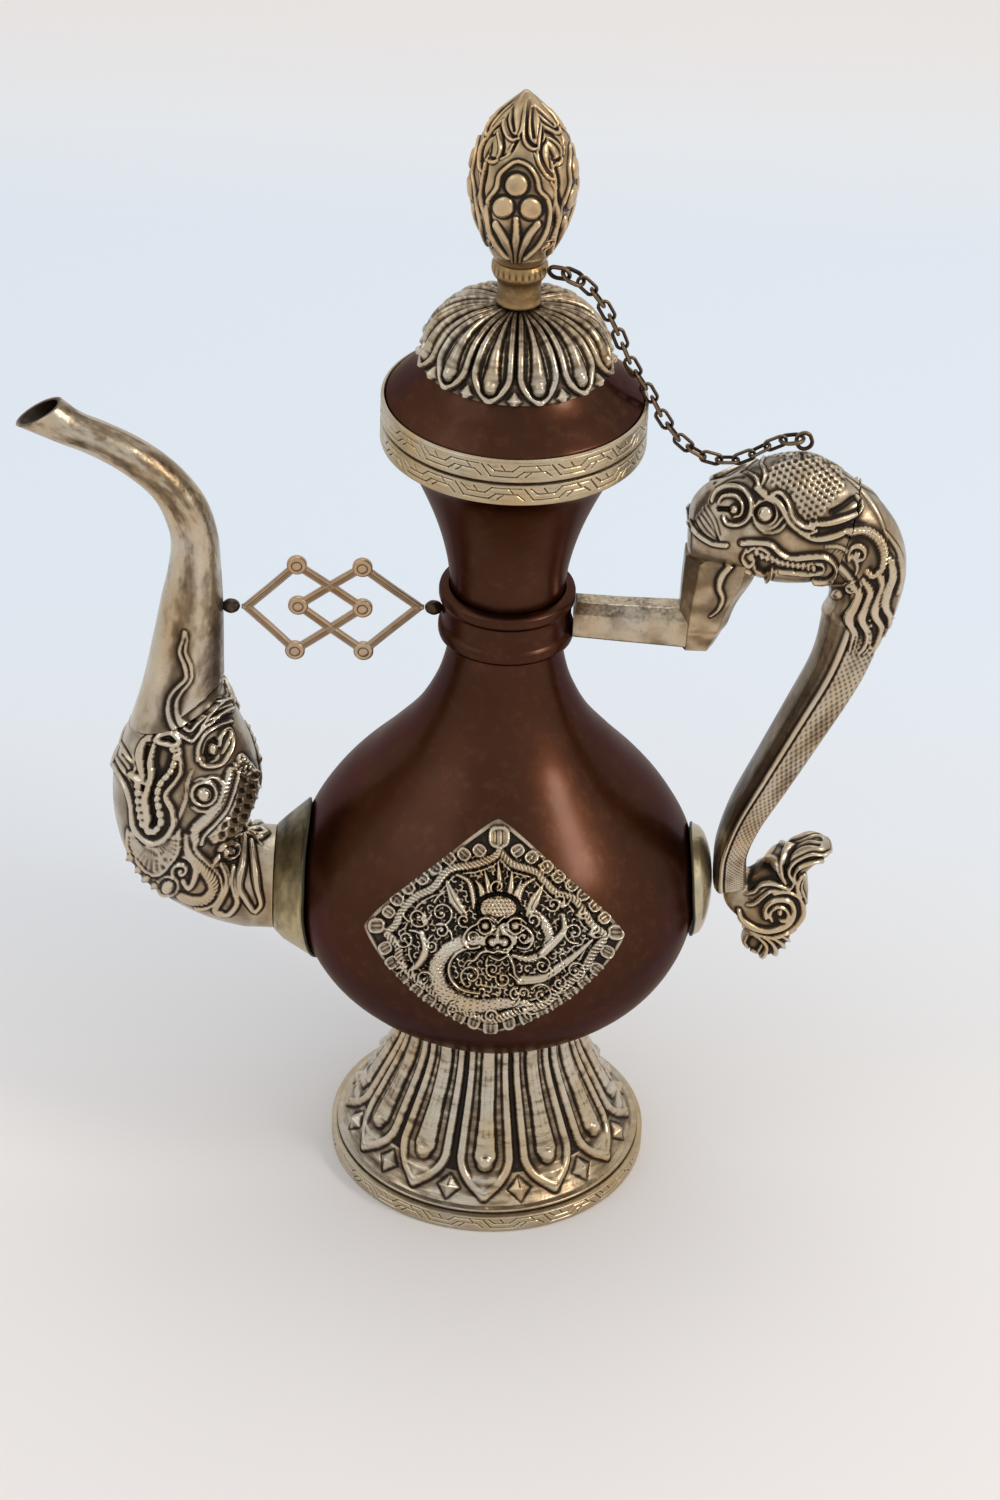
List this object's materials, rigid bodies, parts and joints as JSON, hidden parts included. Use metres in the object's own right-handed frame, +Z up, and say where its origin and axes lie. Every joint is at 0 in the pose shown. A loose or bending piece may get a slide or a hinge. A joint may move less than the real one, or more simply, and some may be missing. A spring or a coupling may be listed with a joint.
{
  "type": "ewer",
  "caption": "Tibetan copper ewer with silver mounts: lotus foot, makara spout and handle, dragon plaque, openwork strut, and a chained lid with a flame finial.",
  "frame": {"origin": "centre of the underside of the foot", "axes": "+Z up through the lid, spout towards -X, handle towards +X, front plaque towards -Y"},
  "size_m": [0.2341, 0.1174, 0.33],
  "materials": {
    "copper": "patinated copper, satin",
    "silver": "chased silver with dark recesses",
    "silver_band": "engraved silver, worn",
    "gilt": "worn gilding",
    "bronze": "dark bronze"
  },
  "bodies": {
    "vessel": {"base_plate": "copper", "foot_rim_band": "silver_band", "foot_shell": "silver", "foot_collar": "copper", "body_shell": "copper", "neck_trumpet": "copper", "neck_collar": "copper", "mouth_band": "silver_band", "front_plaque": "silver", "back_plaque": "silver", "spout_flange": "silver", "spout_head": "silver", "spout_tube": "silver", "spout_strut": "gilt", "strut_ball_spout": "bronze", "strut_ball_neck": "bronze", "handle_arm": "silver", "handle_head": "silver", "handle_column": "silver", "handle_grip": "silver", "handle_tail": "silver", "handle_boss": "silver", "handle_eye": "bronze"},
    "lid": {"lid_band": "silver_band", "lid_sleeve": "copper", "lid_dome": "copper", "lid_petal_cap": "silver", "finial_stem": "gilt", "finial_flame": "silver", "finial_rod": "bronze", "finial_nut": "bronze", "finial_eye": "bronze"},
    "chain_run_1": {"finial_ring": "bronze", "chain_link_01": "bronze", "chain_link_02": "bronze"},
    "chain_run_2": {"chain_link_03": "bronze", "chain_link_04": "bronze", "chain_link_05": "bronze"},
    "chain_run_3": {"chain_link_06": "bronze", "chain_link_07": "bronze", "chain_link_08": "bronze"},
    "chain_run_4": {"chain_link_09": "bronze", "chain_link_10": "bronze", "chain_link_11": "bronze"},
    "chain_run_5": {"chain_link_12": "bronze", "chain_link_13": "bronze", "chain_link_14": "bronze"},
    "chain_run_6": {"chain_link_15": "bronze", "chain_link_16": "bronze", "chain_link_17": "bronze"},
    "chain_run_7": {"chain_link_18": "bronze", "chain_link_19": "bronze", "handle_ring": "bronze"}
  },
  "joints": [
    {"name": "lid_lift", "type": "slide", "parent": "vessel", "child": "lid", "axis": [0, 0, 1], "range_m": [0, 0.011]},
    {"name": "chain_bend_1", "type": "hinge", "parent": "lid", "child": "chain_run_1", "pos_m": [0.0116, -0.0044, 0.2824], "axis": [0.1167, -0.9932, 0], "range_deg": [-8.5, 2]},
    {"name": "chain_bend_2", "type": "hinge", "parent": "chain_run_1", "child": "chain_run_2", "pos_m": [0.02129, -0.00326, 0.27354], "axis": [0.1167, -0.9932, 0], "range_deg": [-2, 12.5]},
    {"name": "chain_bend_3", "type": "hinge", "parent": "chain_run_2", "child": "chain_run_3", "pos_m": [0.02704, -0.00259, 0.26139], "axis": [0.1167, -0.9932, 0], "range_deg": [-3.4, 2]},
    {"name": "chain_bend_4", "type": "hinge", "parent": "chain_run_3", "child": "chain_run_4", "pos_m": [0.03333, -0.00185, 0.24953], "axis": [0.1167, -0.9932, 0], "range_deg": [-2.7, 2]},
    {"name": "chain_bend_5", "type": "hinge", "parent": "chain_run_4", "child": "chain_run_5", "pos_m": [0.03989, -0.00108, 0.2378], "axis": [0.1167, -0.9932, 0], "range_deg": [-9.8, 2]},
    {"name": "chain_bend_6", "type": "hinge", "parent": "chain_run_5", "child": "chain_run_6", "pos_m": [0.04946, 0.00005, 0.22862], "axis": [0.1167, -0.9932, 0], "range_deg": [-15.9, 2]},
    {"name": "chain_bend_7", "type": "hinge", "parent": "chain_run_6", "child": "chain_run_7", "pos_m": [0.0622, 0.00154, 0.22886], "axis": [0.1167, -0.9932, 0], "range_deg": [-6.6, 2]}
  ],
  "couplings": [
    {"joint": "chain_bend_1", "follows": "lid_lift", "rad_per_m": -10.239},
    {"joint": "chain_bend_2", "follows": "lid_lift", "rad_per_m": 16.606},
    {"joint": "chain_bend_3", "follows": "lid_lift", "rad_per_m": -2.257},
    {"joint": "chain_bend_4", "follows": "lid_lift", "rad_per_m": -1.121},
    {"joint": "chain_bend_5", "follows": "lid_lift", "rad_per_m": -12.366},
    {"joint": "chain_bend_6", "follows": "lid_lift", "rad_per_m": -22.018},
    {"joint": "chain_bend_7", "follows": "lid_lift", "rad_per_m": -7.372}
  ]
}
